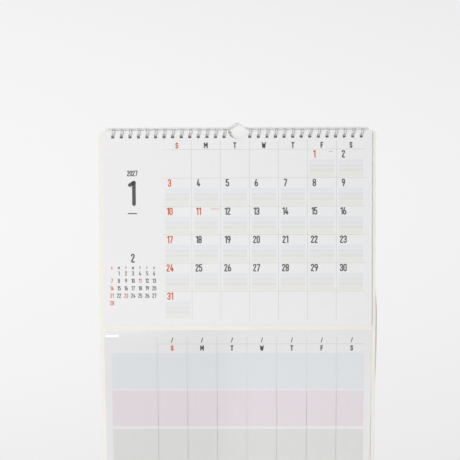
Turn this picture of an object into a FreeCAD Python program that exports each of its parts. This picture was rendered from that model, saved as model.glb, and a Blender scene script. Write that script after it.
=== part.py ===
import FreeCAD, Part
import math
import os

# Wall calendar with a writing sheet. A card backing board, creased across its middle,
# carries a pad of monthly sheets on its upper half and a glossy writing sheet on its
# lower half. Two combs of twin-loop wire bind the pad to the board along the top, and
# a bent wire hanger lies inside the loops, with its bend over a thumb notch.
#
# Millimetres. +X is to the reader's right, +Z is up, and the reader looks along +Y.
# The origin is the point where a nail carries the hanger, under the crown of its bend.
# The wall is just behind the loops, and the bottom edge of the board rests against it,
# which sets how far the upper half leans out.

Vector = FreeCAD.Vector
X = Vector(1, 0, 0)
Y = Vector(0, 1, 0)

# Hole row
HOLE_PITCH = 9.5
PLACES_LEFT_OUT = 2  # in the middle, under the hanger's bend
END_MARGIN = 9.0  # least distance from the last hole's centre to the sheets' side edge
HOLE_HEIGHT = 4.4
HOLE_CORNER = 0.6

# Twin-loop wire
RING_DIAMETER = 8.4  # over the wire
RING_WIRE = 0.9
TWIN_SPACING = 2.1  # between the two wires of one loop
BASE_BEND = 0.9  # where a loop turns into the straight between loops
BASE_STUB = 1.0  # the cut wire past the last bend, at each end of a comb
SEAM_ANGLE = -20.0  # of the straights, from straight behind the ring's centre, up
SEAM_GAP = 0.5  # from the closed tips to the line of the straights

# Hanger
HANGER_WIRE = 1.1
BEND_FROM_LOOP = 0.7  # from the first loop to where the hanger starts to bend
FLANK_ANGLE = 32.0
CROWN_RADIUS = 4.0
FOOT_RADIUS = 2.0
ARM_PAST_LOOP = 3.3
ARM_CLEARANCE = 0.08  # under the tops of the loops, which hang on the arms
END_ROUNDING = 0.3

# Monthly sheets, twelve in one pad
SHEETS_WIDTH = 299.5
SHEETS_HEIGHT = 217.5
SHEETS_THICKNESS = 1.2
NOTCH_WEB = 2.65  # between the thumb notch and the first hole

# Backing board
SIDE_MARGIN = 4.3  # of board beside the sheets
CREASE_BELOW_SHEETS = 2.65
BOARD_THICKNESS = 1.2
CREASE_RADIUS = 12.0  # on the hollow side, behind
FOLD_ANGLE = 5.05

# Writing sheet, as wide as the sheets above it
FILM_BELOW_CREASE = 2.4
FILM_BOTTOM_MARGIN = 5.5
FILM_THICKNESS = 0.4

# Fits
HOLE_PLAY = 0.3  # on either side of a loop's two wires
WALL_GAP = 0.38  # from the loops to the wall behind them
PAD_GAP = 0.3  # from the pad to the board behind it
HOLE_SEAT = 0.3  # from the wire up to the upper edge of a hole
SWING_CLEARANCE = 0.1  # from the turning pad's edge to the hanger's arms
EDGE_CLEARANCE = 0.3  # from the board's top edge to the pad when it stands out level

# Places that follow from the sizes
fold = math.radians(FOLD_ANGLE)
hanger_r = HANGER_WIRE / 2
ring_wire_r = RING_WIRE / 2
ring_r = RING_DIAMETER / 2 - ring_wire_r
ring_inner_r = ring_r - ring_wire_r
flank = math.radians(FLANK_ANGLE)
loop_half_width = TWIN_SPACING / 2 + ring_wire_r
first_hole_x = (PLACES_LEFT_OUT + 1) / 2 * HOLE_PITCH
bend_start_x = first_hole_x - loop_half_width - BEND_FROM_LOOP
bend_half_width = bend_start_x - FOOT_RADIUS * math.tan(flank / 2)
bend_rise = bend_half_width * math.tan(flank) - CROWN_RADIUS * (1 / math.cos(flank) - 1)
arm_z = hanger_r - bend_rise
arm_above_ring = ring_inner_r - hanger_r - ARM_CLEARANCE
ring_centre = Vector(0, 0, arm_z - arm_above_ring)

row_length = SHEETS_WIDTH / 2 - END_MARGIN - first_hole_x
hole_row = [first_hole_x + n * HOLE_PITCH for n in range(1 + int(row_length // HOLE_PITCH))]
hole_width = 2 * (loop_half_width + HOLE_PLAY)
notch_radius = first_hole_x - hole_width / 2 - NOTCH_WEB
arm_end_x = hole_row[-1] + loop_half_width + ARM_PAST_LOOP

# Heights and depths on the upper half, from the ring's centre, before the lean
pad_back_y = -PAD_GAP / 2
pad_front_y = pad_back_y - SHEETS_THICKNESS
board_front_y = PAD_GAP / 2
board_back_y = board_front_y + BOARD_THICKNESS
pad_reach = arm_above_ring - hanger_r - SWING_CLEARANCE
pad_top = math.sqrt(pad_reach**2 - pad_front_y**2)
board_top = -pad_back_y - EDGE_CLEARANCE
stack_y = max(-pad_front_y, board_back_y)
hole_top = HOLE_SEAT - math.sqrt(ring_inner_r**2 - stack_y**2)

# The board's upright section (y, z). Both faces bend about one centre behind the
# board, the middle of the card keeps its length, and the two halves are equal.
board_width = SHEETS_WIDTH + 2 * SIDE_MARGIN
half_height = board_top - pad_top + SHEETS_HEIGHT + CREASE_BELOW_SHEETS
straight_length = half_height - (CREASE_RADIUS + BOARD_THICKNESS / 2) * fold / 2
crease_y = board_back_y + CREASE_RADIUS
crease_z = board_top - straight_length
down_lower_half = Vector(0, math.sin(fold), -math.cos(fold))
out_of_lower_half = Vector(0, -math.cos(fold), -math.sin(fold))


def at_crease(radius, angle):
    """A point on the bend, from its upper end round to its lower end."""
    return Vector(0, crease_y - radius * math.cos(angle), crease_z - radius * math.sin(angle))


# The lean that brings the board's back foot to the wall
back_foot = at_crease(CREASE_RADIUS, fold) + down_lower_half * straight_length
wall_y = RING_DIAMETER / 2 + WALL_GAP
lean = math.atan2(back_foot.z, back_foot.y) + math.acos(wall_y / back_foot.Length)


def leaned(shape):
    """Turns what was drawn upright about the ring's centre, and moves it there."""
    shape.rotate(Vector(), X, -math.degrees(lean))
    shape.translate(ring_centre)
    return shape


def one_solid(shapes):
    """Fuses pieces that meet end to end into one solid, and makes sure that none is lost."""
    fused = shapes[0].multiFuse(shapes[1:])
    if len(fused.Solids) != 1:
        raise RuntimeError(f"{len(fused.Solids)} solids where one is meant")
    whole = sum(shape.Volume for shape in shapes)
    if abs(fused.Volume - whole) > 0.001 * whole:
        raise RuntimeError(f"the pieces hold {whole:.2f} and the solid {fused.Volume:.2f}")
    return fused.Solids[0]


def disc(centre, normal, radius):
    return Part.Face(Part.Wire(Part.makeCircle(radius, centre, normal)))


def on_ring(angle):
    """The point of the ring's centre line at an angle, and the way on along it."""
    a = math.radians(angle)
    point = Vector(0, ring_r * math.cos(a), ring_r * math.sin(a))
    along = Vector(0, -math.sin(a), math.cos(a))
    return point, along


def loop_parts(centre_x, straight_left, straight_right):
    """One closed twin loop: two rings, the tip that joins them, and the two bends
    and straights that lead away from it on either side."""
    base_angle = SEAM_ANGLE + math.degrees(BASE_BEND / ring_r)
    tip_reach = SEAM_GAP + RING_WIRE + TWIN_SPACING / 2
    tip_angle = SEAM_ANGLE + 360 - math.degrees(tip_reach / ring_r)
    base, base_along = on_ring(base_angle)
    tip, tip_along = on_ring(tip_angle)
    base_out = Vector(base).normalize()
    tip_out = Vector(tip).normalize()
    parts = []
    for side, straight in ((-1, straight_left), (1, straight_right)):
        wire_x = X * (centre_x + side * TWIN_SPACING / 2)
        ring = disc(base + wire_x, base_along, ring_wire_r)
        parts.append(ring.revolve(wire_x, X, tip_angle - base_angle))
        bend_centre = base + wire_x + X * (side * BASE_BEND)
        bend = disc(base + wire_x, base_along, ring_wire_r)
        parts.append(bend.revolve(bend_centre, base_out, -side * 90))
        bend_end = bend_centre - base_along * BASE_BEND
        parts.append(Part.makeCylinder(ring_wire_r, straight, bend_end, X * side))
    tip_start = disc(tip + X * (centre_x + TWIN_SPACING / 2), tip_along, ring_wire_r)
    parts.append(tip_start.revolve(tip + X * centre_x, tip_out, -180))
    return parts


def make_wire_right():
    """The comb on the right: a row of twin loops made from one wire."""
    between = (HOLE_PITCH - TWIN_SPACING) / 2 - BASE_BEND
    parts = []
    for place, x in enumerate(hole_row):
        left = BASE_STUB if place == 0 else between
        right = BASE_STUB if place == len(hole_row) - 1 else between
        parts += loop_parts(x, left, right)
    return leaned(one_solid(parts))


def make_wire_left():
    return make_wire_right().mirror(Vector(), X)


def bend_corner(before, corner, after, radius):
    """The tangent arc that rounds one corner of a path, as its three points."""
    back = (before - corner).normalize()
    ahead = (after - corner).normalize()
    half = back.getAngle(ahead) / 2
    middle = (back + ahead).normalize()
    setback = radius / math.tan(half)
    centre = corner + middle * (radius / math.sin(half))
    return corner + back * setback, centre - middle * radius, corner + ahead * setback


def make_hanger():
    """A straight wire with one rounded bend in the middle."""
    apex_z = arm_z + bend_half_width * math.tan(flank)
    corners = [
        Vector(-arm_end_x, 0, arm_z),
        Vector(-bend_half_width, 0, arm_z),
        Vector(0, 0, apex_z),
        Vector(bend_half_width, 0, arm_z),
        Vector(arm_end_x, 0, arm_z),
    ]
    radii = [FOOT_RADIUS, CROWN_RADIUS, FOOT_RADIUS]
    edges = []
    start = corners[0]
    for place, radius in enumerate(radii, start=1):
        first, middle, last = bend_corner(*corners[place - 1 : place + 2], radius)
        edges.append(Part.LineSegment(start, first).toShape())
        edges.append(Part.Arc(first, middle, last).toShape())
        start = last
    edges.append(Part.LineSegment(start, corners[-1]).toShape())
    section = Part.Wire(Part.makeCircle(hanger_r, corners[0], X))
    wire = Part.Wire(edges).makePipeShell([section], True, False)
    ends = [e for e in wire.Edges if e.Closed and abs(abs(e.CenterOfMass.x) - arm_end_x) < 0.01]
    return wire.makeFillet(END_ROUNDING, ends).Solids[0]


def hole_cutters():
    """Every punched hole of the upper half, as rounded blocks right through."""
    depth = 4 * stack_y
    corner = Vector(-hole_width / 2, -depth / 2, hole_top - HOLE_HEIGHT)
    block = Part.makeBox(hole_width, depth, HOLE_HEIGHT, corner)
    upright = [e for e in block.Edges if abs(e.Length - depth) < 1e-6]
    block = block.makeFillet(HOLE_CORNER, upright)
    places = hole_row + [-x for x in hole_row]
    return [block.translated(X * x) for x in places]


def notch_cutter():
    """The thumb notch, a half circle on the sheets' top edge."""
    depth = 4 * stack_y
    return Part.makeCylinder(notch_radius, depth, Vector(0, -depth / 2, pad_top), Y)


def punched(blank):
    return blank.cut([*hole_cutters(), notch_cutter()]).Solids[0]


def make_monthly_sheets():
    corner = Vector(-SHEETS_WIDTH / 2, pad_front_y, pad_top - SHEETS_HEIGHT)
    pad = Part.makeBox(SHEETS_WIDTH, SHEETS_THICKNESS, SHEETS_HEIGHT, corner)
    return leaned(punched(pad))


def make_backing_board():
    front_r = CREASE_RADIUS + BOARD_THICKNESS
    back_r = CREASE_RADIUS
    front = [at_crease(front_r, fold * t) for t in (0, 0.5, 1)]
    back = [at_crease(back_r, fold * t) for t in (1, 0.5, 0)]
    front_top = Vector(0, board_front_y, board_top)
    back_top = Vector(0, board_back_y, board_top)
    front_foot = front[2] + down_lower_half * straight_length
    outline = [
        Part.LineSegment(front_top, front[0]),
        Part.Arc(*front),
        Part.LineSegment(front[2], front_foot),
        Part.LineSegment(front_foot, back_foot),
        Part.LineSegment(back_foot, back[0]),
        Part.Arc(*back),
        Part.LineSegment(back[2], back_top),
        Part.LineSegment(back_top, front_top),
    ]
    section = Part.Face(Part.Wire([edge.toShape() for edge in outline]))
    section.translate(X * (-board_width / 2))
    return leaned(punched(section.extrude(X * board_width)))


def make_whiteboard_sheet():
    """Lies face to face on the board's lower half."""
    crease_end = at_crease(CREASE_RADIUS + BOARD_THICKNESS, fold)
    height = straight_length - FILM_BELOW_CREASE - FILM_BOTTOM_MARGIN
    top_back = crease_end + down_lower_half * FILM_BELOW_CREASE
    top_front = top_back + out_of_lower_half * FILM_THICKNESS
    foot_front = top_front + down_lower_half * height
    foot_back = top_back + down_lower_half * height
    section = Part.Face(Part.makePolygon([top_back, top_front, foot_front, foot_back, top_back]))
    section.translate(X * (-SHEETS_WIDTH / 2))
    return leaned(section.extrude(X * SHEETS_WIDTH))


MAKERS = {
    "hanger": make_hanger,
    "wire_left": make_wire_left,
    "wire_right": make_wire_right,
    "monthly_sheets": make_monthly_sheets,
    "backing_board": make_backing_board,
    "whiteboard_sheet": make_whiteboard_sheet,
}

os.makedirs("parts", exist_ok=True)
for name, maker in MAKERS.items():
    shape = maker()
    shape.exportStep(f"parts/{name}.step")
    box = shape.BoundBox
    print(
        f"{name}: valid {shape.isValid()}, {len(shape.Solids)} solid, {shape.Volume:.1f} mm3, "
        f"x {box.XMin:.2f} to {box.XMax:.2f}, y {box.YMin:.2f} to {box.YMax:.2f}, "
        f"z {box.ZMin:.2f} to {box.ZMax:.2f}"
    )
print(f"arm axis z {arm_z:.4f}, ring centre z {ring_centre.z:.4f}, {len(hole_row)} loops a side")
print(f"from the ring centre: pad top {pad_top:.3f}, board top {board_top:.3f}, hole top {hole_top:.3f}")
print(f"lean {math.degrees(lean):.3f} degrees, wall at y {wall_y:.2f}, board {2 * half_height:.2f} high")
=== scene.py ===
# %% [markdown]
# # A wall calendar with a writing sheet
# A card board hangs on a wire. Its upper half carries a pad of monthly sheets on twin-loop
# wire, and its lower half a glossy sheet for a dry-wipe pen. The solids come from CAD and
# stay where they are. This script gives them their finishes, builds the leaves of the pad
# and everything that is printed, and sets up the wall, the light and the camera.

# %% The frame
import math
import random

import bmesh
import bpy
from mathutils import Matrix, Vector


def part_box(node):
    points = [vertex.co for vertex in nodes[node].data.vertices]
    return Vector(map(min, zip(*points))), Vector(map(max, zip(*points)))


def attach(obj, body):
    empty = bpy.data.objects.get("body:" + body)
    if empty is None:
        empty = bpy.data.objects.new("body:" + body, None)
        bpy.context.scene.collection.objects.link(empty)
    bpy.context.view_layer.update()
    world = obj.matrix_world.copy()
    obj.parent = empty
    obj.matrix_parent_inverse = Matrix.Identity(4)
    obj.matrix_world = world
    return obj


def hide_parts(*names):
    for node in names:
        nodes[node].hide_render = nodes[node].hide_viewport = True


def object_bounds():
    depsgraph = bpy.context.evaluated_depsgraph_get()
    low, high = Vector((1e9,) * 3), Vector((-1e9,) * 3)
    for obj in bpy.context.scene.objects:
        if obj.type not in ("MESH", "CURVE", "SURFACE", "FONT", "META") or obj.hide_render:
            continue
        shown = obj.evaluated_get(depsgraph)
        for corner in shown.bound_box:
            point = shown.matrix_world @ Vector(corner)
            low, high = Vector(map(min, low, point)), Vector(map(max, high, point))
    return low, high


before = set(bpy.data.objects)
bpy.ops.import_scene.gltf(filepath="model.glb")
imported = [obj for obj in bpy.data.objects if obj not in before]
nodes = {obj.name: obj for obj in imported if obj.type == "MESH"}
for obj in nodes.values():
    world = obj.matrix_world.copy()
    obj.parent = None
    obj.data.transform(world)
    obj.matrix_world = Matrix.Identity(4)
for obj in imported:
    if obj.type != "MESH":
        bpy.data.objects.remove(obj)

MM = 0.001
bpy.context.view_layer.update()
cad_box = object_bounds()
print("CAD box in mm", [[round(c / MM, 2) for c in corner] for corner in cad_box])

# %% [markdown]
# ## Camera
# A long lens from a little over a metre keeps the calendar's edges nearly parallel. The camera
# stands level with the top of the calendar and looks down by a few degrees, so the page
# narrows a little towards its foot. The camera comes first, because everything after it is
# judged through it. One turn about each axis is easier to read than a set of Euler angles.

# %% Camera
CAMERA_PLACE = Vector((5.3, -1100.0, -31.4)) * MM
LOOKS_DOWN = math.radians(4.50)
LOOKS_LEFT = math.radians(0.70)
ROLL = math.radians(-0.23)
SENSOR_WIDTH = 36.0
FOCAL_LENGTH = 77.25

camera = bpy.data.objects.new("camera", bpy.data.cameras.new("camera"))
bpy.context.scene.collection.objects.link(camera)
camera.data.sensor_width = SENSOR_WIDTH
camera.data.lens = FOCAL_LENGTH
camera.matrix_world = (
    Matrix.Translation(CAMERA_PLACE)
    @ Matrix.Rotation(LOOKS_LEFT, 4, "Z")
    @ Matrix.Rotation(math.pi / 2 - LOOKS_DOWN, 4, "X")
    @ Matrix.Rotation(ROLL, 4, "Z")
)
bpy.context.scene.camera = camera
print("camera at", [round(c, 3) for c in camera.location])

# %% [markdown]
# ## Page frames
# The pad leans out from the wall and the writing sheet leans back, so neither is parallel to a
# world axis. Printing is laid out the way a printer does it: across from the middle of the page,
# and down from its top edge. A page frame is the matrix that takes such a place to the world. It
# is read from the CAD solid's own front face, so the print can't drift away from the paper.

# %% Page frames
ACROSS = Vector((1, 0, 0))
TOWARDS_READER = -0.5  # a normal with less y than this belongs to a front face
ON_THE_FACE = 0.002 * MM


def page_frame(node):
    """Takes (across, up, out) to the world, from the middle of the top edge of a front face."""
    mesh = nodes[node].data
    front = max((p for p in mesh.polygons if p.normal.y < TOWARDS_READER), key=lambda p: p.area)
    out = front.normal.copy()
    up = out.cross(ACROSS)
    depth = out.dot(mesh.vertices[front.vertices[0]].co)
    on_face = [v.co for v in mesh.vertices if abs(out.dot(v.co) - depth) < ON_THE_FACE]
    top = max(up.dot(co) for co in on_face)
    origin = out * depth + up * top
    across_up_out = Matrix((ACROSS, up, out)).transposed().to_4x4()
    return Matrix.Translation(origin) @ across_up_out


def tilt(frame_matrix):
    """How far a page leans from upright, in degrees: positive where it faces down."""
    return math.degrees(math.asin(-frame_matrix.col[2].z))


month_page = page_frame("monthly_sheets")
week_page = page_frame("whiteboard_sheet")
print("month page leans", round(tilt(month_page), 3), "and week page", round(tilt(week_page), 3))

# %% [markdown]
# ## Wall, floor and light
# The calendar needs something to hang against: one pale wall just behind the loops, where the
# foot of the board rests, and a pale floor far below. A soft lamp stands to the upper left, and
# the world fills in the rest, so that a colour renders about as it is written. The first cell has
# the helpers that every material below is made with. They keep a shader tree down to one line for
# each node, which is easier to follow here than a picture of wires.

# %% Colours and shader helpers
SCREEN_WHITE = 255.0


def screen(red, green, blue):
    """A colour as it is read on a screen, 0 to 255, turned into the linear values of a shader."""

    def linear(value):
        share = value / SCREEN_WHITE
        return share / 12.92 if share <= 0.04045 else ((share + 0.055) / 1.055) ** 2.4

    return (linear(red), linear(green), linear(blue), 1.0)


def new_material(name):
    """A material with its Principled BSDF, and the tree and shader to work on."""
    material = bpy.data.materials.new(name)
    material.use_nodes = True
    tree = material.node_tree
    return material, tree, tree.nodes["Principled BSDF"]


def add(tree, kind, **settings):
    """A new node with its properties and, by name, the values of its sockets."""
    node = tree.nodes.new(kind)
    for name, value in settings.items():
        if name in node.bl_rna.properties:
            setattr(node, name, value)
        else:
            node.inputs[name.replace("_", " ")].default_value = value
    return node


def math_node(tree, operation, first, second, clamp=False):
    """A Math node. Each operand is a socket or a number."""
    node = tree.nodes.new("ShaderNodeMath")
    node.operation = operation
    node.use_clamp = clamp
    for place, operand in enumerate((first, second)):
        if isinstance(operand, bpy.types.NodeSocket):
            tree.links.new(operand, node.inputs[place])
        else:
            node.inputs[place].default_value = operand
    return node.outputs[0]


def ramp(tree, value, **ends):
    """A Map Range node by its From and To ends, each 0 or 1 where it isn't given."""
    node = add(tree, "ShaderNodeMapRange", **ends)
    tree.links.new(value, node.inputs["Value"])
    return node.outputs["Result"]


def mix_colours(tree, mask, low, high):
    """A colour that goes from low to high with the mask. Each is a colour or a socket."""
    node = tree.nodes.new("ShaderNodeMix")
    node.data_type = "RGBA"
    tree.links.new(mask, node.inputs["Factor"])
    for socket, value in ((node.inputs[6], low), (node.inputs[7], high)):
        if isinstance(value, bpy.types.NodeSocket):
            tree.links.new(value, socket)
        else:
            socket.default_value = value
    return node.outputs[2]


# %% [markdown]
# ### The wall's tone
# Round the calendar the wall has an even tone of its own, a glow that falls off a little to the
# right and with height, as on a wall under one large lamp. Behind the calendar it is paint that
# takes real light and shadow, and its colour there is also darkened where that glow falls off: a
# painted fall-off of light. It shows in four places: through the punched holes, through the notch,
# under the hanger's hump, and as a thin dark line where the fold stands out. Behind the holes the
# paint is darker still, as painted shade. A lamp alone would throw one soft shadow round the board,
# so each kind of wall gets its own place here.

# %% The wall's tone
WALL_GLOW = 0.905
GLOW_FALL_ACROSS = 0.080  # for each metre
GLOW_BRIGHTEST_Z = -0.09
GLOW_FALL_UP = 0.74  # for each square metre
GLOW_LEAST = 0.8


def wall_glow(tree, across, up):
    """How brightly the wall shows: most at the left and at mid height, as under a soft lamp."""
    falls = math_node(tree, "MULTIPLY", across, GLOW_FALL_ACROSS)
    height = math_node(tree, "SUBTRACT", up, GLOW_BRIGHTEST_Z)
    square = math_node(tree, "MULTIPLY", math_node(tree, "POWER", height, 2.0), GLOW_FALL_UP)
    glow = math_node(tree, "SUBTRACT", math_node(tree, "SUBTRACT", WALL_GLOW, falls), square)
    return math_node(tree, "MAXIMUM", glow, GLOW_LEAST)


# %% The line beside the fold
board_box = [Vector(corner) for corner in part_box("backing_board")]
BOARD_FOOT = board_box[0].z
BOARD_RIGHT = board_box[1].x
FOLD_Z = BOARD_FOOT / 2
FOLD_REACH = 1.5 * MM  # how much further right the fold shows against the wall than the foot
SLIVER_TOP = -208.0 * MM  # where the line starts to taper off upwards
SLIVER_TAPER = 0.06
SLIVER_DROP = 10.0 * MM  # its widest place is this far below the fold
SLIVER_AT_FOOT = 0.35 * MM
SLIVER_AT_FOLD = 1.6 * MM
SLIVER_HALF_HEIGHT = 62.0 * MM
SHADE_HALF_WIDTH = 147.0 * MM  # hidden behind the board on both sides
print("fold at z", round(FOLD_Z / MM, 2), "mm and foot at", round(BOARD_FOOT / MM, 2), "mm")


def right_limit(tree, up):
    """How far right the shade reaches: past the board's edge, and furthest beside the fold."""
    rise = math_node(tree, "SUBTRACT", up, BOARD_FOOT)
    limit = math_node(tree, "MULTIPLY", rise, FOLD_REACH / (FOLD_Z - BOARD_FOOT))
    limit = math_node(tree, "ADD", limit, BOARD_RIGHT + SLIVER_AT_FOOT)
    from_fold = math_node(tree, "SUBTRACT", up, FOLD_Z - SLIVER_DROP)
    from_fold = math_node(tree, "DIVIDE", from_fold, SLIVER_HALF_HEIGHT)
    bulge = math_node(tree, "SUBTRACT", 1.0, math_node(tree, "POWER", from_fold, 2.0), clamp=True)
    wider = math_node(tree, "MULTIPLY", bulge, SLIVER_AT_FOLD - SLIVER_AT_FOOT)
    limit = math_node(tree, "ADD", limit, wider)
    above = math_node(tree, "MAXIMUM", math_node(tree, "SUBTRACT", up, SLIVER_TOP), 0.0)
    limit = math_node(tree, "SUBTRACT", limit, math_node(tree, "MULTIPLY", above, SLIVER_TAPER))
    return math_node(tree, "MAXIMUM", limit, SHADE_HALF_WIDTH)


# %% Where the wall is plain paint
SHADE_TOP = -3.6 * MM  # behind the loops
SHADE_PEAK = 0.6 * MM  # under the hanger's hump
SHADE_SLOPE = 0.62
SHADE_BLEND = 0.3 * MM
# Painted shade: from DEEP_TOP down to DEEP_FOOT, and clear of the notch, the wall's paint is darkened
# behind the punched holes.
DEEP_TOP = -12.5 * MM  # just below the upper edge of the holes
DEEP_BLEND = 1.8 * MM
DEEP_FOOT = -22.0 * MM
NOTCH_CLEAR = 11.0 * MM  # the notch is open, so the wall behind it is lighter


def outside_shade(tree, across, up):
    """0 on the wall behind the calendar and inside the hanger's hump, and 1 all round it."""
    reach = math_node(tree, "ABSOLUTE", across, 0.0)
    hump = math_node(tree, "SUBTRACT", SHADE_PEAK, math_node(tree, "MULTIPLY", reach, SHADE_SLOPE))
    top = math_node(tree, "MAXIMUM", hump, SHADE_TOP)
    above = math_node(tree, "SUBTRACT", up, top)
    left = math_node(tree, "SUBTRACT", -SHADE_HALF_WIDTH, across)
    right = math_node(tree, "SUBTRACT", across, right_limit(tree, up))
    out = math_node(tree, "MAXIMUM", above, math_node(tree, "MAXIMUM", left, right))
    out = math_node(tree, "MAXIMUM", out, math_node(tree, "SUBTRACT", BOARD_FOOT, up))
    return ramp(tree, out, From_Min=-SHADE_BLEND, From_Max=SHADE_BLEND)


def deep_shade(tree, across, up):
    """1 where the wall only shows through the punched holes: there its paint is darkened, a painted shade
    for the little light that reaches it.
    """
    below = math_node(tree, "SUBTRACT", DEEP_TOP, up)
    square = math_node(tree, "POWER", math_node(tree, "ABSOLUTE", across, 0.0), 2.0)
    drop = math_node(tree, "POWER", math_node(tree, "SUBTRACT", up, DEEP_TOP), 2.0)
    from_notch = math_node(tree, "SQRT", math_node(tree, "ADD", square, drop), 0.0)
    past_notch = math_node(tree, "SUBTRACT", from_notch, NOTCH_CLEAR)
    depth = math_node(tree, "MINIMUM", below, past_notch)
    depth = math_node(tree, "MINIMUM", depth, math_node(tree, "SUBTRACT", up, DEEP_FOOT))
    return ramp(tree, depth, From_Max=DEEP_BLEND)


# %% [markdown]
# ### Wall and floor
# Both are large squares of the room, not pieces of the calendar. The wall is there for the camera
# and for gloss, and it is open to every other ray. Light passes it from behind, so that the back
# of the board can be looked at too, and it throws no light of its own on the calendar.

# %% Wall and floor
WALL_HALF_SIZE = 3.0
FLOOR_BELOW = 1.45
WALL_COLOUR = screen(244, 244, 244)
# painted shade: the darker paint that the wall shows behind the punched holes
PAINTED_SHADE_COLOUR = screen(142, 140, 137)
BLACK = screen(0, 0, 0)
FLOOR_COLOUR = screen(236, 236, 236)
wall_y = cad_box[1].y


def stage_plane(name, matrix, material):
    """A large square of the room, which isn't part of the calendar."""
    bm = bmesh.new()
    bmesh.ops.create_grid(bm, x_segments=1, y_segments=1, size=WALL_HALF_SIZE, matrix=matrix)
    mesh = bpy.data.meshes.new(name)
    bm.to_mesh(mesh)
    bm.free()
    plane = bpy.data.objects.new(name, mesh)
    bpy.context.scene.collection.objects.link(plane)
    mesh.materials.append(material)


def seen_rays(tree):
    """1 for the rays that the room is shown to: those of the camera, of gloss and through glass."""
    ray = tree.nodes.new("ShaderNodeLightPath")
    seen = math_node(tree, "ADD", ray.outputs["Is Camera Ray"], ray.outputs["Is Glossy Ray"])
    return math_node(tree, "ADD", seen, ray.outputs["Is Transmission Ray"], clamp=True)


def wall_material():
    """Its own glow outside the shade; inside, paint with a painted fall-off of light and painted shade
    behind the holes; clear to rays that only carry light.
    """
    material, tree, shader = new_material("painted_wall")
    link = tree.links.new
    shader.inputs["Roughness"].default_value = 0.9
    shader.inputs["Specular IOR Level"].default_value = 0.2
    place = tree.nodes.new("ShaderNodeTexCoord")
    axes = tree.nodes.new("ShaderNodeSeparateXYZ")
    link(place.outputs["Object"], axes.inputs[0])
    across, up = axes.outputs["X"], axes.outputs["Z"]
    strength = wall_glow(tree, across, up)
    paint = mix_colours(tree, deep_shade(tree, across, up), WALL_COLOUR, PAINTED_SHADE_COLOUR)
    # the paint is darkened where the glow falls off, a painted fall-off of light, so that lit paint meets
    # the glow without a seam
    painted_falloff = math_node(tree, "DIVIDE", strength, WALL_GLOW, clamp=True)
    link(mix_colours(tree, painted_falloff, BLACK, paint), shader.inputs["Base Color"])
    glow = add(tree, "ShaderNodeEmission", Color=(1.0, 1.0, 1.0, 1.0))
    link(strength, glow.inputs["Strength"])
    lit = tree.nodes.new("ShaderNodeMixShader")
    link(outside_shade(tree, across, up), lit.inputs[0])
    link(shader.outputs[0], lit.inputs[1])
    link(glow.outputs[0], lit.inputs[2])
    side = tree.nodes.new("ShaderNodeNewGeometry")
    front = math_node(tree, "SUBTRACT", 1.0, side.outputs["Backfacing"])
    shown = math_node(tree, "MULTIPLY", seen_rays(tree), front)
    clear = tree.nodes.new("ShaderNodeBsdfTransparent")
    choice = tree.nodes.new("ShaderNodeMixShader")
    link(shown, choice.inputs[0])
    link(clear.outputs[0], choice.inputs[1])
    link(lit.outputs[0], choice.inputs[2])
    link(choice.outputs[0], tree.nodes["Material Output"].inputs["Surface"])
    return material


def floor_material():
    """Plain pale paint, which takes the calendar's shadow."""
    material, tree, shader = new_material("pale_floor")
    shader.inputs["Base Color"].default_value = FLOOR_COLOUR
    shader.inputs["Roughness"].default_value = 0.8
    return material


faces_reader = Matrix.Rotation(math.pi / 2, 4, "X")
floor_place = Matrix.Translation((0, wall_y - WALL_HALF_SIZE, -FLOOR_BELOW))
stage_plane("wall", Matrix.Translation((0, wall_y, 0)) @ faces_reader, wall_material())
stage_plane("floor", floor_place, floor_material())
print("wall at y", round(wall_y / MM, 2), "mm")

# %% [markdown]
# ### Light
# One soft lamp gives the shadows. Two small ones stand low in front, where the gloss of the writing
# sheet mirrors them: a strip that lights the steep side of the blister, and a wide card that gives
# the film its faint sheen. The last lamp is behind the wall and is only for the back of the board.

# %% Light
WORLD_LIGHT = 0.42
ROOM_TONE = screen(240, 240, 240)
AIM = Vector((0.0, 0.0, -0.2))
LAMPS = {
    # name: (direction from the calendar, distance in metres, width, height, power in watts)
    "key": ((-0.60, -1.0, 0.24), 3.55, 1.03, 1.03, 60.9),
    "low_strip": ((-0.23, -0.948, -0.221), 1.386, 0.25, 0.10, 1.3),
    "low_card": ((0.13, -0.90, -0.38), 2.4, 0.72, 0.6, 1.8),
    "behind": ((0.7, 1.0, 0.5), 2.4, 1.2, 1.2, 16.0),
}


def add_lamp(name, direction, distance, width, height, power):
    """A rectangle of light that faces the middle of the calendar."""
    lamp = bpy.data.objects.new(name, bpy.data.lights.new(name, "AREA"))
    lamp.data.shape = "RECTANGLE"
    lamp.data.size = width
    lamp.data.size_y = height
    lamp.data.energy = power
    away = Vector(direction).normalized()
    turn = away.to_track_quat("Z", "Y").to_matrix().to_4x4()
    lamp.matrix_world = Matrix.Translation(AIM + away * distance) @ turn
    bpy.context.scene.collection.objects.link(lamp)


def light_world():
    """Plain light for surfaces, and a pale room where the camera or gloss looks past the wall."""
    world = bpy.data.worlds.new("room")
    bpy.context.scene.world = world
    world.use_nodes = True
    tree = world.node_tree
    fill = tree.nodes["Background"]
    fill.inputs["Color"].default_value = (1.0, 1.0, 1.0, 1.0)
    fill.inputs["Strength"].default_value = WORLD_LIGHT
    room = add(tree, "ShaderNodeBackground", Color=ROOM_TONE, Strength=1.0)
    choice = tree.nodes.new("ShaderNodeMixShader")
    tree.links.new(seen_rays(tree), choice.inputs[0])
    tree.links.new(fill.outputs[0], choice.inputs[1])
    tree.links.new(room.outputs[0], choice.inputs[2])
    tree.links.new(choice.outputs[0], tree.nodes["World Output"].inputs["Surface"])


light_world()
for lamp_name, facts in LAMPS.items():
    add_lamp(lamp_name, *facts)
bpy.context.scene.view_settings.view_transform = "Standard"
print("lamps", sorted(LAMPS))

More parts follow.
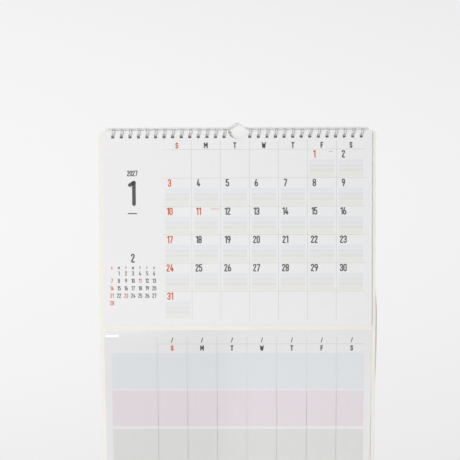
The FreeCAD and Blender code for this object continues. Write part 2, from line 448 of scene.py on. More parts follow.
# %% [markdown]
# ## Shared effects
# Paper, card and ink all show the same thing close up: pressed fibres, a little unevenness in
# tone, and a cut edge that is rougher than the face. Each effect is a node group, built once,
# and every finish below places it with its own values. They read Object coordinates, because
# every piece has its place in its mesh, so one pattern runs on from paper to ink.

# %% Shared effects
WIPE_SLOPE = math.radians(24.0)
WIPE_STRETCH = 7.0


def new_group(name, inputs, outputs):
    """An empty shader node group with named number or vector inputs and outputs."""
    group = bpy.data.node_groups.new(name, "ShaderNodeTree")
    for direction, sockets in (("INPUT", inputs), ("OUTPUT", outputs)):
        for socket_name, kind in sockets.items():
            kind = "NodeSocket" + kind
            group.interface.new_socket(socket_name, in_out=direction, socket_type=kind)
    return group, group.nodes.new("NodeGroupInput"), group.nodes.new("NodeGroupOutput")


def noise(group, place, scale, **settings):
    """A noise texture that reads a place and takes its scale from a socket."""
    node = add(group, "ShaderNodeTexNoise", **settings)
    group.links.new(place, node.inputs["Vector"])
    group.links.new(scale, node.inputs["Scale"])
    return node.outputs["Fac"]


def build_fibres():
    """Mottle is a slow change of tone from 0 to 1, and Height the fine relief of fibres."""
    group, given, result = new_group(
        "pressed_fibres",
        {"Mottle Scale": "Float", "Fibre Scale": "Float"},
        {"Mottle": "Float", "Height": "Float"},
    )
    place = group.nodes.new("ShaderNodeTexCoord").outputs["Object"]
    mottle = noise(group, place, given.outputs["Mottle Scale"], Detail=5.0, Roughness=0.6)
    fibre = noise(group, place, given.outputs["Fibre Scale"], Detail=3.0, Roughness=0.7, Distortion=1.4)
    group.links.new(ramp(group, mottle, From_Min=0.3, From_Max=0.7), result.inputs["Mottle"])
    group.links.new(fibre, result.inputs["Height"])
    return group


def build_cut_edge():
    """Mask is 1 where the surface is a cut edge of a sheet, and 0 on its two faces."""
    group, given, result = new_group("cut_edge", {"Faces": "Vector"}, {"Mask": "Float"})
    link = group.links.new
    place = group.nodes.new("ShaderNodeTexCoord")
    facing = group.nodes.new("ShaderNodeVectorMath")
    facing.operation = "DOT_PRODUCT"
    link(place.outputs["Normal"], facing.inputs[0])
    link(given.outputs["Faces"], facing.inputs[1])
    flat = math_node(group, "ABSOLUTE", facing.outputs["Value"], 0.0)
    link(ramp(group, flat, From_Min=0.9, From_Max=0.5), result.inputs["Mask"])
    return group


def build_wiped_film():
    """Haze is where a cloth has dulled the gloss, and Height the slow waves of a glued film."""
    group, given, result = new_group(
        "wiped_film",
        {"Wave Scale": "Float", "Haze Scale": "Float"},
        {"Haze": "Float", "Height": "Float"},
    )
    place = group.nodes.new("ShaderNodeTexCoord").outputs["Object"]
    wave = noise(group, place, given.outputs["Wave Scale"], Detail=1.0, Roughness=0.3)
    swept = add(group, "ShaderNodeMapping", Rotation=(0.0, WIPE_SLOPE, 0.0))
    swept.inputs["Scale"].default_value = (1.0, 1.0, WIPE_STRETCH)
    group.links.new(place, swept.inputs["Vector"])
    wiped = swept.outputs["Vector"]
    haze = noise(group, wiped, given.outputs["Haze Scale"], Detail=6.0, Roughness=0.65)
    group.links.new(ramp(group, haze, From_Min=0.35, From_Max=0.75), result.inputs["Haze"])
    group.links.new(wave, result.inputs["Height"])
    return group


FIBRES = build_fibres()
CUT_EDGE = build_cut_edge()
WIPED_FILM = build_wiped_film()
print("shared effects", [group.name for group in (FIBRES, CUT_EDGE, WIPED_FILM)])

# %% [markdown]
# ## Finishes
# Six finishes cover the object: cream card, white paper, ink on paper, glossy film, ink on film,
# and coated wire. Values that are the same all over sit on the shader's own sockets. Only what
# changes over the surface, such as a mottled tone or the relief of fibres, comes from nodes.

# %% Finishes
def place_group(tree, group, **values):
    """Puts a shared effect into a material's tree, with this finish's own values."""
    node = tree.nodes.new("ShaderNodeGroup")
    node.node_tree = group
    for name, value in values.items():
        node.inputs[name.replace("_", " ")].default_value = value
    return node


def add_bump(tree, shader, height, strength, distance):
    bump = add(tree, "ShaderNodeBump", Strength=strength, Distance=distance)
    tree.links.new(height, bump.inputs["Height"])
    tree.links.new(bump.outputs["Normal"], shader.inputs["Normal"])


def dimmed(colour, share):
    return (*(channel * share for channel in colour[:3]), 1.0)


def sheet_finish(name, colour, page, edge, roughness, mottle_scale, fibre_scale, fibre_depth, uneven):
    """Card or paper: a mottled face, a different cut edge, and fibres in relief."""
    material, tree, shader = new_material(name)
    link = tree.links.new
    fibres = place_group(tree, FIBRES, Mottle_Scale=mottle_scale, Fibre_Scale=fibre_scale)
    face = mix_colours(tree, fibres.outputs["Mottle"], dimmed(colour, 1.0 - uneven), colour)
    cut = place_group(tree, CUT_EDGE, Faces=page.col[2].to_3d())
    link(mix_colours(tree, cut.outputs["Mask"], face, edge), shader.inputs["Base Color"])
    rough = ramp(tree, cut.outputs["Mask"], To_Min=roughness, To_Max=0.95)
    link(rough, shader.inputs["Roughness"])
    shader.inputs["Specular IOR Level"].default_value = 0.3
    add_bump(tree, shader, fibres.outputs["Height"], 0.35, fibre_depth)
    return material


def paper_ink(name, colour):
    """Ink soaks into the paper, so it keeps the fibres and is only a little smoother."""
    material, tree, shader = new_material(name)
    fibres = place_group(tree, FIBRES, Mottle_Scale=900.0, Fibre_Scale=2600.0)
    tone = mix_colours(tree, fibres.outputs["Mottle"], dimmed(colour, 0.97), colour)
    tree.links.new(tone, shader.inputs["Base Color"])
    shader.inputs["Roughness"].default_value = 0.62
    shader.inputs["Specular IOR Level"].default_value = 0.3
    add_bump(tree, shader, fibres.outputs["Height"], 0.25, 0.02 * MM)
    return material


def film_finish(name, colour):
    """Clear gloss over white or over ink: slow waves, and streaks where it has been wiped."""
    material, tree, shader = new_material(name)
    wiped = place_group(tree, WIPED_FILM, Wave_Scale=11.0, Haze_Scale=9.0)
    tone = mix_colours(tree, wiped.outputs["Haze"], colour, dimmed(colour, 0.994))
    tree.links.new(tone, shader.inputs["Base Color"])
    gloss = ramp(tree, wiped.outputs["Haze"], To_Min=0.10, To_Max=0.15)
    tree.links.new(gloss, shader.inputs["Roughness"])
    shader.inputs["Specular IOR Level"].default_value = 0.5
    add_bump(tree, shader, wiped.outputs["Height"], 0.5, 1.2 * MM)
    return material


def wire_finish(name, colour, roughness):
    """Thin coating on steel: nearly white, with a soft sheen and slight unevenness."""
    material, tree, shader = new_material(name)
    coat = place_group(tree, FIBRES, Mottle_Scale=260.0, Fibre_Scale=1500.0)
    tone = mix_colours(tree, coat.outputs["Mottle"], dimmed(colour, 0.94), colour)
    tree.links.new(tone, shader.inputs["Base Color"])
    gloss = ramp(tree, coat.outputs["Mottle"], To_Min=roughness + 0.08, To_Max=roughness)
    tree.links.new(gloss, shader.inputs["Roughness"])
    shader.inputs["Coat Weight"].default_value = 0.4
    shader.inputs["Coat Roughness"].default_value = 0.15
    add_bump(tree, shader, coat.outputs["Height"], 0.2, 0.02 * MM)
    return material


PAPER = sheet_finish(
    "white_paper", screen(236, 236, 236), month_page, screen(226, 225, 223),
    roughness=0.75, mottle_scale=35.0, fibre_scale=2600.0, fibre_depth=0.03 * MM, uneven=0.012,
)
CARD = sheet_finish(
    "cream_card", screen(241, 238, 229), month_page, screen(222, 216, 203),
    roughness=0.8, mottle_scale=60.0, fibre_scale=1400.0, fibre_depth=0.05 * MM, uneven=0.03,
)
FILM = film_finish("gloss_film", screen(226, 226, 226))
LOOP_WIRE = wire_finish("coated_loop_wire", screen(232, 233, 236), 0.32)
HANGER_WIRE = wire_finish("coated_hanger_wire", screen(226, 226, 226), 0.35)
DARK = (88, 84, 86)
RED = (214, 100, 54)
GREY_LINE = (188, 188, 190)
MONTH_BANDS = {
    "blue": (228, 232, 235), "pink": (229, 227, 229),
    "green": (226, 228, 225), "yellow": (231, 232, 223),
}
WEEK_BANDS = {
    "blue": (217, 221, 224), "pink": (221, 213, 217),
    "green": (214, 215, 212), "yellow": (224, 224, 210),
}
print("finishes", [m.name for m in (PAPER, CARD, FILM, LOOP_WIRE, HANGER_WIRE)])

# %% [markdown]
# ## Board and wires
# The CAD solids of the board, the two combs of loops and the hanger have the right shape already,
# down to the punched holes, so they only need their finishes.

# %% Board and wires
CAD_FINISHES = {
    "backing_board": CARD, "wire_left": LOOP_WIRE, "wire_right": LOOP_WIRE, "hanger": HANGER_WIRE,
}
for node_name, material in CAD_FINISHES.items():
    nodes[node_name].data.materials.clear()
    nodes[node_name].data.materials.append(material)
print("finished as they are", sorted(CAD_FINISHES))

# %% [markdown]
# ## Finishing a piece
# Each new piece is drawn flat in page millimetres, taken to its place by its page frame, and then
# rides on its CAD body. Printing gets a thin layer of thickness, so that it is a closed shape and
# not a paper-thin face.

# %% Finishing a piece
INK_THICKNESS = 0.02 * MM
SAME_PLACE = 0.0005  # page millimetres between corners that are one corner
MILLIMETRES = Matrix.Scale(MM, 4)


def finish_piece(name, bm, page, body, materials):
    """Turns a bmesh in page millimetres into an object whose place is in its mesh."""
    bmesh.ops.transform(bm, matrix=page @ MILLIMETRES, verts=bm.verts)
    mesh = bpy.data.meshes.new(name)
    bm.to_mesh(mesh)
    bm.free()
    for material in materials:
        mesh.materials.append(material)
    piece = bpy.data.objects.new(name, mesh)
    bpy.context.scene.collection.objects.link(piece)
    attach(piece, body)
    return piece


def finish_print(name, bm, page, body, materials):
    """Printing: every face looks out of the page and is given a thin layer of ink."""
    bmesh.ops.remove_doubles(bm, verts=bm.verts, dist=SAME_PLACE)
    bm.normal_update()
    bmesh.ops.reverse_faces(bm, faces=[f for f in bm.faces if f.normal.z < 0])
    piece = finish_piece(name, bm, page, body, materials)
    layer = piece.modifiers.new("ink_layer", "SOLIDIFY")
    layer.thickness = INK_THICKNESS
    layer.offset = 1.0
    print(name, len(piece.data.polygons), "faces")
    return piece


def field(bm, left, top, width, height, material=0, out=0.0):
    """A rectangle of colour. Its top edge is so far below the top of the page."""
    middle = Matrix.Translation((left + width / 2, -top - height / 2, out))
    size = Matrix.Diagonal((width, height, 1, 1))
    made = bmesh.ops.create_grid(bm, x_segments=1, y_segments=1, size=0.5, matrix=middle @ size)
    for face in {f for v in made["verts"] for f in v.link_faces}:
        face.material_index = material


# %% [markdown]
# ## The leaves
# The pad is twelve leaves. CAD holds them as one solid, because they swing as one, but the cut
# edge of a pad is a stack of fine lines, and no two leaves line up exactly. The front face of the
# CAD solid already has the punched holes and the thumb notch, so it is the cutting pattern for a
# leaf: it is copied, merged, and laid down twelve times with a small shift.

# %% The leaves
LEAVES = 12
LEAF_THICKNESS = 0.088
LEAF_SHIFT = 0.10
LOOKS_OUT = 0.999
ON_FRONT = 0.01
random.seed(12)

pad_corners = [month_page.inverted() @ v.co for v in nodes["monthly_sheets"].data.vertices]
pad_thickness = -min(c.z for c in pad_corners) / MM
page_width = 2 * max(c.x for c in pad_corners) / MM
page_height = -min(c.y for c in pad_corners) / MM
print("page", round(page_width, 2), "by", round(page_height, 2), "mm")
print("pad", round(pad_thickness, 2), "mm thick")


def front_skin(node, page):
    """The front face of a CAD solid as a merged bmesh in page millimetres."""
    bm = bmesh.new()
    bm.from_mesh(nodes[node].data)
    bmesh.ops.remove_doubles(bm, verts=bm.verts, dist=0.001 * MM)
    bmesh.ops.transform(bm, matrix=(page @ MILLIMETRES).inverted(), verts=bm.verts)
    bm.normal_update()
    others = [f for f in bm.faces if f.normal.z < LOOKS_OUT or abs(f.calc_center_median().z) > ON_FRONT]
    bmesh.ops.delete(bm, geom=others, context="FACES")
    return bm


def build_leaves():
    """Twelve copies of the pattern, the first one in its true place, each made solid."""
    skin = front_skin("monthly_sheets", month_page)
    pattern = bpy.data.meshes.new("leaf_pattern")
    skin.to_mesh(pattern)
    skin.free()
    pad = bmesh.new()
    for leaf in range(LEAVES):
        depth = leaf * (pad_thickness - LEAF_THICKNESS) / (LEAVES - 1)
        jog = Vector()
        if leaf:
            jog = Vector((random.uniform(-1, 1), random.uniform(-1, 1), 0)) * LEAF_SHIFT
        before = set(pad.verts)
        pad.from_mesh(pattern)
        new = [v for v in pad.verts if v not in before]
        bmesh.ops.translate(pad, vec=jog + Vector((0, 0, -depth)), verts=new)
    bmesh.ops.solidify(pad, geom=pad.faces[:], thickness=LEAF_THICKNESS)
    bpy.data.meshes.remove(pattern)
    return pad


leaves = finish_piece("monthly_leaves", build_leaves(), month_page, "sheets", [PAPER])
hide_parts("monthly_sheets")
print("leaves", len(leaves.data.polygons), "faces")

# %% [markdown]
# ## A pen for the printing
# The numbers are a rounded, narrow face with one weight of stroke. A font file isn't needed for
# that, and its outlines would be someone else's. Here each figure is drawn as a sign writer
# does it: a nib is set down, dragged straight and swung round, and lifted, and its two ends are
# round. Dragging is an extrude and swinging is a spin, so a figure is only a few short moves.

# %% The nib
STEP_OF_TURN = 15.0
OUT_OF_PAGE = Vector((0, 0, 1))


def heading_vector(degrees):
    """A step of length 1 across the page. 0 is to the right and 90 is up."""
    return Vector((math.cos(math.radians(degrees)), math.sin(math.radians(degrees)), 0))


def set_down(bm, at, heading, weight):
    """A nib across the heading: three vertices, from its left end to its right end."""
    across = heading_vector(heading + 90) * weight / 2
    nib = [bm.verts.new(at + across), bm.verts.new(at), bm.verts.new(at - across)]
    edges = [bm.edges.new(nib[:2]), bm.edges.new(nib[1:])]
    return nib, edges


def swing(bm, nib, centre, degrees):
    """Spins the nib about a centre and returns it as it ends."""
    verts, edges = nib
    steps = max(1, math.ceil(abs(degrees) / STEP_OF_TURN))
    spun = bmesh.ops.spin(
        bm, geom=verts + edges, cent=centre, axis=OUT_OF_PAGE, angle=math.radians(degrees), steps=steps
    )
    last = spun["geom_last"]
    found = [v for v in last if isinstance(v, bmesh.types.BMVert)]
    turn = Matrix.Rotation(math.radians(degrees), 3, OUT_OF_PAGE)
    places = [centre + turn @ (v.co - centre) for v in verts]
    verts = [min(found, key=lambda v, place=place: (v.co - place).length) for place in places]
    return verts, [e for e in last if isinstance(e, bmesh.types.BMEdge)]


def drag(bm, nib, way):
    """Extrudes the nib straight along."""
    verts, edges = nib
    geom = bmesh.ops.extrude_edge_only(bm, edges=edges)["geom"]
    found = [v for v in geom if isinstance(v, bmesh.types.BMVert)]
    ordered = [min(found, key=lambda v, place=old.co: (v.co - place).length) for old in verts]
    bmesh.ops.translate(bm, vec=way, verts=found)
    return ordered, [bm.edges.get(ordered[:2]), bm.edges.get(ordered[1:])]


# %% A stroke
def round_end(bm, nib, degrees):
    """A half disc on the end of a stroke: the right half of the nib swings about its middle."""
    verts, edges = nib
    half = [verts[1], verts[2]], [e for e in edges if verts[2] in e.verts]
    swing(bm, half, verts[1].co.copy(), degrees)


def draw_stroke(bm, start, heading, moves, weight):
    """Moves are a number for a straight run, or (radius, degrees) for a turn, left if positive."""
    nib = set_down(bm, start, heading, weight)
    closed = abs(sum(m[1] for m in moves if isinstance(m, tuple))) == 360
    if not closed:
        round_end(bm, nib, -180)
    for move in moves:
        if isinstance(move, tuple):
            radius, degrees = move
            side = 90 if degrees > 0 else -90
            centre = nib[0][1].co + heading_vector(heading + side) * radius
            nib = swing(bm, nib, centre, degrees)
            heading += degrees
        else:
            nib = drag(bm, nib, heading_vector(heading) * move)
    if not closed:
        round_end(bm, nib, 180)


# %% [markdown]
# ## Figures and initials
# Each figure stands in a box one unit high, with its middle at 0 across. A stroke is where the
# nib is set down, the way it heads, and its moves. The weekdays carry plain initials.

# %% Measures of a figure
WEIGHT = 0.145
TOP = 1 - WEIGHT / 2
BASE = WEIGHT / 2
MIDDLE = 0.5
BOWL = 0.1475
UPPER = TOP - BOWL
LOWER = BASE + BOWL
SIDE = UPPER - LOWER
HALF_SIDE = UPPER - MIDDLE - BOWL
STEM = TOP - BASE
HOOK = 0.02
LETTER_GAP = 0.04
FULL_BOWL = (BOWL, -180)
LOOP = [HALF_SIDE, FULL_BOWL, HALF_SIDE, FULL_BOWL]
SLANT = [0.40, (0.25, 20), 0.246, (BOWL, 180), 0.16, (BOWL, 180)]
print("a figure's stem", round(STEM, 4), "and side", round(SIDE, 4))

# %% Figures and initials
FIGURES = {
    # name: (left, right, strokes)
    "0": (-0.22, 0.22, [(-BOWL, LOWER, 90, [SIDE, FULL_BOWL, SIDE, FULL_BOWL])]),
    "1": (-0.24, 0.073, [(0, BASE, 90, [STEM]), (0, TOP, 212, [0.19])]),
    "2": (-0.22, 0.22, [(-BOWL, UPPER - HOOK, 90, [HOOK, (BOWL, -206), 0.619, (0.06, 116), 0.232])]),
    "3": (-0.22, 0.22, [
        (-BOWL, UPPER - HOOK, 90, [HOOK, FULL_BOWL, HALF_SIDE, (BOWL, -90), 0.03]),
        (-0.03, MIDDLE, 0, [0.03, (BOWL, -90), HALF_SIDE, FULL_BOWL, HOOK]),
    ]),
    "4": (-0.22, 0.25, [
        (0.01, TOP, -104, [0.645, (0.03, 104), 0.31]),
        (0.08, MIDDLE, -90, [MIDDLE - BASE]),
    ]),
    "5": (-0.22, 0.22, [
        (BOWL - 0.02, TOP, 180, [0.245, (0.03, 90), 0.35]),
        (-0.121, 0.537, 55, [(BOWL, -145), 0.2325, FULL_BOWL, HOOK]),
    ]),
    "6": (-0.22, 0.22, [(0.004, TOP, -110, SLANT)]),
    "7": (-0.22, 0.22, [(-BOWL, TOP, 0, [0.2615, (0.05, -105), 0.82])]),
    "8": (-0.22, 0.22, [(-BOWL, MIDDLE + BOWL, 90, LOOP), (-BOWL, LOWER, 90, LOOP)]),
    "9": (-0.22, 0.22, [(-0.004, BASE, 70, SLANT)]),
    "/": (-0.2, 0.2, [(-0.13, BASE, 73, [0.89])]),
    "S": (-0.22, 0.22, [
        (BOWL, UPPER - HOOK, 90, [HOOK, (BOWL, 180), HALF_SIDE, (BOWL, 90),
                                  (BOWL, -90), HALF_SIDE, FULL_BOWL, HOOK]),
    ]),
    "M": (-0.31, 0.31, [
        (-0.24, BASE, 90, [STEM]), (-0.24, TOP, -65.5, [0.58]),
        (0.24, TOP, -114.5, [0.58]), (0.24, BASE, 90, [STEM]),
    ]),
    "T": (-0.26, 0.26, [(-0.19, TOP, 0, [0.38]), (0, TOP, -90, [STEM])]),
    "W": (-0.35, 0.35, [
        (-0.28, TOP, -80.7, [0.866]), (-0.14, BASE, 78.3, [0.692]),
        (0, 0.75, -78.3, [0.692]), (0.14, BASE, 80.7, [0.866]),
    ]),
    "F": (-0.22, 0.2, [(-BOWL, BASE, 90, [STEM]), (-BOWL, TOP, 0, [0.28]), (-BOWL, MIDDLE, 0, [0.22])]),
}
print("figures", "".join(FIGURES))


# %% Writing
def write(bm, text, middle, top, height, material=0, weight=WEIGHT):
    """Figures in a row, centred on a place across the page, with their tops so far down it."""
    width = sum(FIGURES[c][1] - FIGURES[c][0] for c in text) + LETTER_GAP * (len(text) - 1)
    cursor = middle - width * height / 2
    old_faces = set(bm.faces)
    for character in text:
        left, right, strokes = FIGURES[character]
        glyph = bmesh.new()
        for x, y, heading, moves in strokes:
            draw_stroke(glyph, Vector((x, y, 0)), heading, moves, weight)
        place = Matrix.Translation((cursor - left * height, -top - height, 0))
        bmesh.ops.transform(glyph, matrix=place @ Matrix.Scale(height, 4), verts=glyph.verts)
        drawn = bpy.data.meshes.new("glyph")
        glyph.to_mesh(drawn)
        glyph.free()
        bm.from_mesh(drawn)
        bpy.data.meshes.remove(drawn)
        cursor += (right - left + LETTER_GAP) * height
    for face in bm.faces:
        if face not in old_faces:
            face.material_index = material


# %% [markdown]
# ## The month
# The month's grid is seven columns by six rows of hairlines. Every dated square has four pale
# bands to write on, one for each member of a family, and its number at the upper left. Sundays and
# holidays are red. Bands, lines and numbers are separate pieces, as they are separate inks.

# %% The month
COLUMN = 32.15
COLUMNS_LEFT = -82.8
ROW = 31.55
ROWS_TOP = 21.2
ROWS = 6
WEEKDAYS = "SMTWTFS"
DAYS_A_WEEK = len(WEEKDAYS)
FIRST_WEEKDAY = 5
DAYS = 31
HOLIDAYS = {1: 4.5, 11: 9.5}  # day, and the length of the rule beside it


def day_square(day):
    """The left and top of a day's square on the month page, and its weekday."""
    row, weekday = divmod(day - 1 + FIRST_WEEKDAY, DAYS_A_WEEK)
    return COLUMNS_LEFT + COLUMN * weekday, ROWS_TOP + ROW * row, weekday


print("day 1 at", [round(place, 2) for place in day_square(1)[:2]], "mm on the page")

# %% Bands and lines of the month
BAND_INSET = 2.6
BAND_FIRST = 11.3
BAND_PITCH = 4.95
BAND_HEIGHT = 4.1
HAIRLINE = 0.28
LINES_TOP = 11.7
OVER_THE_OTHERS = 0.001  # lifts the lines across, so that two lines never share a face


def month_bands():
    """Four pale bands in every dated square, each band with an ink of its own."""
    bm = bmesh.new()
    for day in range(1, DAYS + 1):
        left, top, _ = day_square(day)
        for band in range(len(MONTH_BANDS)):
            down = top + BAND_FIRST + BAND_PITCH * band
            field(bm, left + BAND_INSET, down, COLUMN - 2 * BAND_INSET, BAND_HEIGHT, band)
    return bm


def month_lines():
    """Hairlines between the columns, and one along the top of each row."""
    bm = bmesh.new()
    length = ROWS_TOP + ROW * ROWS - LINES_TOP
    for column in range(1, DAYS_A_WEEK):
        field(bm, COLUMNS_LEFT + COLUMN * column - HAIRLINE / 2, LINES_TOP, HAIRLINE, length)
    for row in range(ROWS):
        top = ROWS_TOP + ROW * row - HAIRLINE / 2
        field(bm, COLUMNS_LEFT, top, COLUMN * DAYS_A_WEEK, HAIRLINE, out=OVER_THE_OTHERS)
    return bm


MONTH_BAND_INKS = [paper_ink(f"month_band_{name}", screen(*tone)) for name, tone in MONTH_BANDS.items()]
PAPER_LINE = paper_ink("paper_hairline", screen(*GREY_LINE))
finish_print("month_bands", month_bands(), month_page, "sheets", MONTH_BAND_INKS)
finish_print("month_lines", month_lines(), month_page, "sheets", [PAPER_LINE])

# %% Dates and heading of the month
NUMBER_HEIGHT = 8.3
NUMBER_IN = 7.7
NUMBER_DOWN = 1.2
NUMBER_WEIGHT = 0.16
HEADING_TOP = 13.5
HEADING_HEIGHT = 6.3
HEADING_WEIGHT = 0.21
RULE_MIDDLE = 26.0
RULE_DOWN = 2.6
RULE_THICKNESS = 0.5


def month_dates():
    """Every date at the upper left of its square, Sundays and holidays in red."""
    bm = bmesh.new()
    for day in range(1, DAYS + 1):
        left, top, weekday = day_square(day)
        red = weekday == 0 or day in HOLIDAYS
        write(bm, str(day), left + NUMBER_IN, top + NUMBER_DOWN, NUMBER_HEIGHT, int(red), NUMBER_WEIGHT)
    return bm


def month_heading():
    """Initials of the weekdays, and a short red rule beside each holiday."""
    bm = bmesh.new()
    for column, initial in enumerate(WEEKDAYS):
        middle = COLUMNS_LEFT + COLUMN * (column + 0.5)
        write(bm, initial, middle, HEADING_TOP, HEADING_HEIGHT, int(column == 0), HEADING_WEIGHT)
    for day, length in HOLIDAYS.items():
        left, top, _ = day_square(day)
        field(bm, left + RULE_MIDDLE - length / 2, top + RULE_DOWN, length, RULE_THICKNESS, 1)
    return bm


PAPER_DARK = paper_ink("paper_dark_ink", screen(*DARK))
PAPER_RED = paper_ink("paper_red_ink", screen(*RED))
finish_print("month_dates", month_dates(), month_page, "sheets", [PAPER_DARK, PAPER_RED])
finish_print("month_heading", month_heading(), month_page, "sheets", [PAPER_DARK, PAPER_RED])

# %% [markdown]
# ## The title and the next month
# The left margin names the month with a tall figure between the year and a plain rule, and has the
# next month in small figures below. The small month is the same loop at a smaller pitch.

# %% The title
MARGIN_MIDDLE = -116.5
YEAR_TOP, YEAR_HEIGHT, YEAR_WEIGHT = 44.3, 6.2, 0.17
MONTH_TOP, MONTH_HEIGHT = 55.5, 28.0
MONTH_TO_LEFT = 0.6
TITLE_RULE_TOP, TITLE_RULE_LENGTH, TITLE_RULE_THICKNESS = 91.4, 10.2, 1.2


def month_title():
    """The year, the tall figure of the month and a plain rule, one below the other."""
    bm = bmesh.new()
    write(bm, "2027", MARGIN_MIDDLE, YEAR_TOP, YEAR_HEIGHT, weight=YEAR_WEIGHT)
    write(bm, "1", MARGIN_MIDDLE - MONTH_TO_LEFT, MONTH_TOP, MONTH_HEIGHT)
    rule_left = MARGIN_MIDDLE - TITLE_RULE_LENGTH / 2
    field(bm, rule_left, TITLE_RULE_TOP, TITLE_RULE_LENGTH, TITLE_RULE_THICKNESS)
    return bm


finish_print("month_title", month_title(), month_page, "sheets", [PAPER_DARK])

# %% The next month
NEXT_TOP, NEXT_HEIGHT, NEXT_WEIGHT = 136.9, 9.8, 0.155
SMALL_HEADING_TOP, SMALL_HEADING_HEIGHT, SMALL_HEADING_WEIGHT = 151.2, 3.0, 0.2
SMALL_TOP, SMALL_HEIGHT, SMALL_WEIGHT = 156.3, 5.0, 0.147
SMALL_COLUMN = 7.88
SMALL_ROW = 8.3
NEXT_FIRST_WEEKDAY = 1
NEXT_DAYS = 28
NEXT_HOLIDAYS = (11, 23)


def small_column(weekday):
    """The middle of a column of the small month, which is centred in the margin."""
    return MARGIN_MIDDLE + SMALL_COLUMN * (weekday - (DAYS_A_WEEK - 1) / 2)


def next_month():
    """The number of the next month, and all its days in small figures."""
    bm = bmesh.new()
    write(bm, "2", MARGIN_MIDDLE, NEXT_TOP, NEXT_HEIGHT, weight=NEXT_WEIGHT)
    for weekday, initial in enumerate(WEEKDAYS):
        write(
            bm, initial, small_column(weekday), SMALL_HEADING_TOP, SMALL_HEADING_HEIGHT,
            int(weekday == 0), SMALL_HEADING_WEIGHT,
        )
    for day in range(1, NEXT_DAYS + 1):
        row, weekday = divmod(day - 1 + NEXT_FIRST_WEEKDAY, DAYS_A_WEEK)
        red = weekday == 0 or day in NEXT_HOLIDAYS
        top = SMALL_TOP + SMALL_ROW * row
        write(bm, str(day), small_column(weekday), top, SMALL_HEIGHT, int(red), SMALL_WEIGHT)
    return bm


finish_print("next_month", next_month(), month_page, "sheets", [PAPER_DARK, PAPER_RED])

# %% [markdown]
# ## The writing sheet
# A clear gloss film lies on the lower half of the board. Film that is glued by hand keeps a small
# blister here and there, and one near the upper left corner catches the light. Its right edge has
# come a little unstuck towards the foot. The sheet is a box of the CAD solid's size, cut by planes
# only where the blister and the curl need them, and lifted there.

# %% The film's size
UP_THE_PAGE = Vector((0, 1, 0))
film_corners = [week_page.inverted() @ v.co for v in nodes["whiteboard_sheet"].data.vertices]
film_width = 2 * max(c.x for c in film_corners) / MM
film_height = -min(c.y for c in film_corners) / MM
film_thickness = -min(c.z for c in film_corners) / MM
print("film", round(film_width, 2), "by", round(film_height, 2), "by", round(film_thickness, 2), "mm")


def cut_film(bm, at, way):
    """One cut straight through the film, which stays in one piece."""
    bmesh.ops.bisect_plane(bm, geom=bm.verts[:] + bm.edges[:] + bm.faces[:], plane_co=at, plane_no=way)


# %% The blister
BLISTER_PLACE = Vector((-141.2, -6.0, 0))
BLISTER_HALF_LENGTH = 7.8
BLISTER_END = 1.6
BLISTER_RISE = 1.7
BLISTER_FALL = 5.0
BLISTER_HEIGHT = 0.085
BLISTER_TILT = math.radians(-0.5)
FILM_CUT = 0.4
CUTS_ACROSS = (-9.2, 9.2)
CUTS_UP = (-7.0, 1.8)
print("blister", 2 * BLISTER_HALF_LENGTH, "mm long and", BLISTER_HEIGHT, "mm high")


def cut_round_blister(bm):
    """A close grid of cuts, only where the blister bends the film."""
    for way, (low, high) in ((ACROSS, CUTS_ACROSS), (UP_THE_PAGE, CUTS_UP)):
        count = int((high - low) / FILM_CUT)
        for cut in range(count + 1):
            at = BLISTER_PLACE + way * (low + (high - low) * cut / count)
            if abs(at.x) < film_width / 2:
                cut_film(bm, at, way)


def lift_blister(verts):
    """Long across the page, steep on its upper side and easy on its lower, with short ends."""
    turn = Matrix.Rotation(-BLISTER_TILT, 3, "Z")
    for vert in verts:
        along = turn @ (vert.co - BLISTER_PLACE)
        end = min(1.0, max(0.0, (BLISTER_HALF_LENGTH - abs(along.x)) / BLISTER_END))
        rise = min(1.0, max(0.0, (BLISTER_RISE / 2 - along.y) / BLISTER_RISE))
        fall = min(1.0, max(0.0, (-BLISTER_RISE / 2 - along.y) / BLISTER_FALL))
        vert.co.z += BLISTER_HEIGHT * end * end * (3 - 2 * end) * rise * math.cos(fall * math.pi / 2) ** 2


# %% The curl
CURL_WIDTH = 6.5
CURL_BELOW = 30.0
CURL_HEIGHT = 0.6
CURL_STRIPS = 8
print("curl", CURL_WIDTH, "mm wide and up to", CURL_HEIGHT, "mm high at the foot")


def curl_edge(bm):
    """The right edge has come a little unstuck, more and more towards the foot."""
    start = film_width / 2 - CURL_WIDTH
    length = film_height - CURL_BELOW
    for strip in range(CURL_STRIPS):
        share = strip / CURL_STRIPS
        cut_film(bm, Vector((start + CURL_WIDTH * share, 0, 0)), ACROSS)
        cut_film(bm, Vector((0, -CURL_BELOW - length * share, 0)), UP_THE_PAGE)
    for vert in bm.verts:
        out = max(0.0, (vert.co.x - start) / CURL_WIDTH)
        down = max(0.0, (-vert.co.y - CURL_BELOW) / length)
        vert.co.z += CURL_HEIGHT * out**2 * down * (2 - down)


# %% The writing sheet
SHARP_ANGLE = math.radians(40.0)


def build_film():
    """A flat box of the film's size, then the cuts, the blister and the curl."""
    bm = bmesh.new()
    middle = Matrix.Translation((0, -film_height / 2, -film_thickness / 2))
    size = Matrix.Diagonal((film_width, film_height, film_thickness, 1))
    bmesh.ops.create_cube(bm, size=1.0, matrix=middle @ size)
    cut_round_blister(bm)
    lift_blister([v for v in bm.verts if v.co.z > -film_thickness / 2])
    curl_edge(bm)
    return bm


film = finish_piece("writing_film", build_film(), week_page, "calendar", [FILM])
film.data.shade_smooth()
film.data.set_sharp_from_angle(angle=SHARP_ANGLE)
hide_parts("whiteboard_sheet")
print("film", len(film.data.polygons), "faces")

# %% [markdown]
# ## The week
# The writing sheet is printed with one row of broad bands for each member of the family and a
# column for each day, with a slash for the date above the weekday's initial.

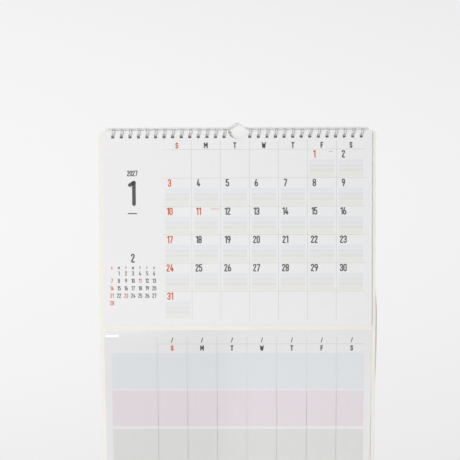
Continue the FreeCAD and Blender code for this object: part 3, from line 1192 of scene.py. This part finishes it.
# %% The week
WEEK_COLUMN = 33.52
WEEK_COLUMNS_LEFT = -90.2
WEEK_LEFT, WEEK_RIGHT = -141.8, 141.8
WEEK_LINES_TOP = 7.5
WEEK_RULE = 15.4
WEEK_BAND_TOPS = (25.8, 69.2, 114.1, 159.2)
WEEK_BAND_HEIGHT = 41.6
WEEK_LINE = 0.36
SLASH_TOP, SLASH_WEIGHT = 8.0, 0.17
WEEK_INITIAL_TOP, WEEK_INITIAL_WEIGHT = 17.2, 0.24
WEEK_FIGURE_HEIGHT = 5.8


def week_bands():
    """One broad band right across for each member of the family."""
    bm = bmesh.new()
    for band, top in enumerate(WEEK_BAND_TOPS):
        field(bm, WEEK_LEFT, top, WEEK_RIGHT - WEEK_LEFT, WEEK_BAND_HEIGHT, band)
    return bm


def week_lines():
    """A line left of each day's column, and one rule between the dates and the weekdays."""
    bm = bmesh.new()
    bottom = WEEK_BAND_TOPS[-1] + WEEK_BAND_HEIGHT
    for column in range(DAYS_A_WEEK):
        left = WEEK_COLUMNS_LEFT + WEEK_COLUMN * column
        field(bm, left - WEEK_LINE / 2, WEEK_LINES_TOP, WEEK_LINE, bottom - WEEK_LINES_TOP)
    rule_length = WEEK_RIGHT - WEEK_COLUMNS_LEFT
    rule_top = WEEK_RULE - WEEK_LINE / 2
    field(bm, WEEK_COLUMNS_LEFT, rule_top, rule_length, WEEK_LINE, out=OVER_THE_OTHERS)
    return bm


def week_heading():
    """A slash for the date and an initial below it, at the head of each column."""
    bm = bmesh.new()
    for column, initial in enumerate(WEEKDAYS):
        middle = WEEK_COLUMNS_LEFT + WEEK_COLUMN * (column + 0.5)
        write(bm, "/", middle, SLASH_TOP, WEEK_FIGURE_HEIGHT, weight=SLASH_WEIGHT)
        top, weight = WEEK_INITIAL_TOP, WEEK_INITIAL_WEIGHT
        write(bm, initial, middle, top, WEEK_FIGURE_HEIGHT, int(column == 0), weight)
    return bm


WEEK_BAND_INKS = [film_finish(f"week_band_{name}", screen(*tone)) for name, tone in WEEK_BANDS.items()]
FILM_LINE = film_finish("film_hairline", screen(*GREY_LINE))
FILM_DARK = film_finish("film_dark_ink", screen(*DARK))
FILM_RED = film_finish("film_red_ink", screen(*RED))
finish_print("week_bands", week_bands(), week_page, "calendar", WEEK_BAND_INKS)
finish_print("week_lines", week_lines(), week_page, "calendar", [FILM_LINE])
finish_print("week_heading", week_heading(), week_page, "calendar", [FILM_DARK, FILM_RED])

# %% Update the scene
bpy.context.view_layer.update()
